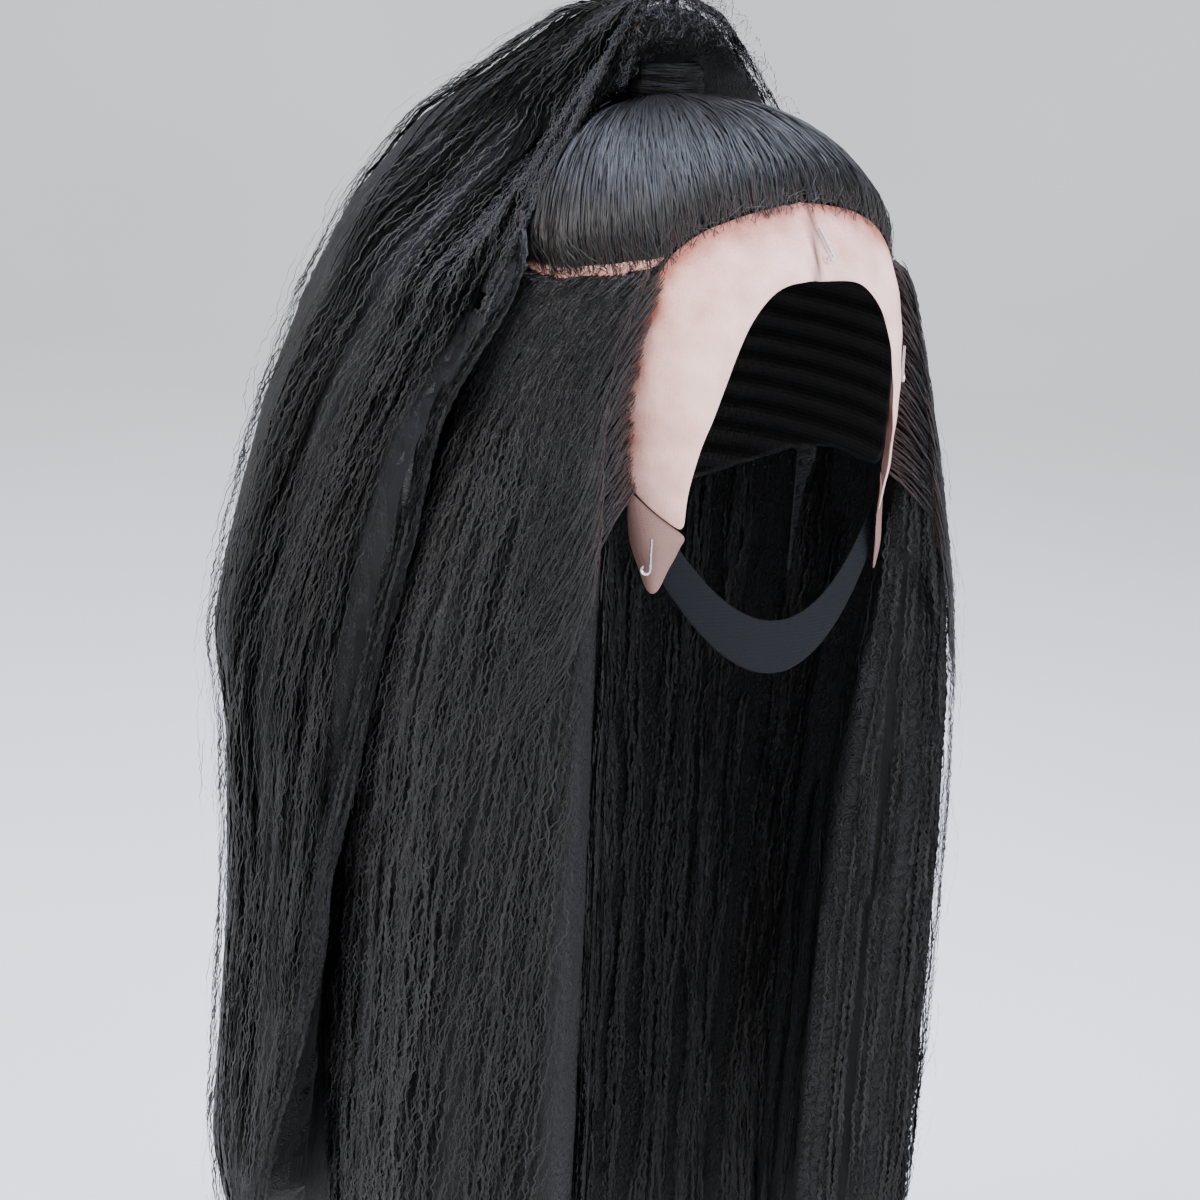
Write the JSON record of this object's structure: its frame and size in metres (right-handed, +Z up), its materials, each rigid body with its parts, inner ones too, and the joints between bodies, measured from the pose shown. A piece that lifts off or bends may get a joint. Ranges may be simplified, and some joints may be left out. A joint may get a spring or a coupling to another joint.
{
  "type": "lace front wig",
  "caption": "Long crimped black lace front wig with a high wrapped ponytail, a lace front, ear tabs and an elastic chin band.",
  "frame": {"origin": "the inner crown of the cap, where it sits on the head", "axes": "+Z up, the face side towards -Y, the wearer's left at +X"},
  "size_m": [0.3179, 0.2938, 0.619],
  "materials": {
    "hair": "soft sheen",
    "cap_mesh": "matte mesh",
    "lace": "fine net",
    "elastic": "matte woven",
    "pin_steel": "polished"
  },
  "bodies": {
    "root": {"cap": "cap_mesh", "lace_front": "lace", "ear_tab_right": "lace", "ear_tab_left": "lace", "swept_hair": "hair", "ponytail_wrap": "hair", "ponytail": "hair", "side_hair_right": "hair", "side_hair_left": "hair", "back_hair": "hair", "elastic_band": "elastic", "lace_pin_middle": "pin_steel", "lace_pin_left": "pin_steel", "tab_pin_right": "pin_steel"}
  },
  "joints": []
}
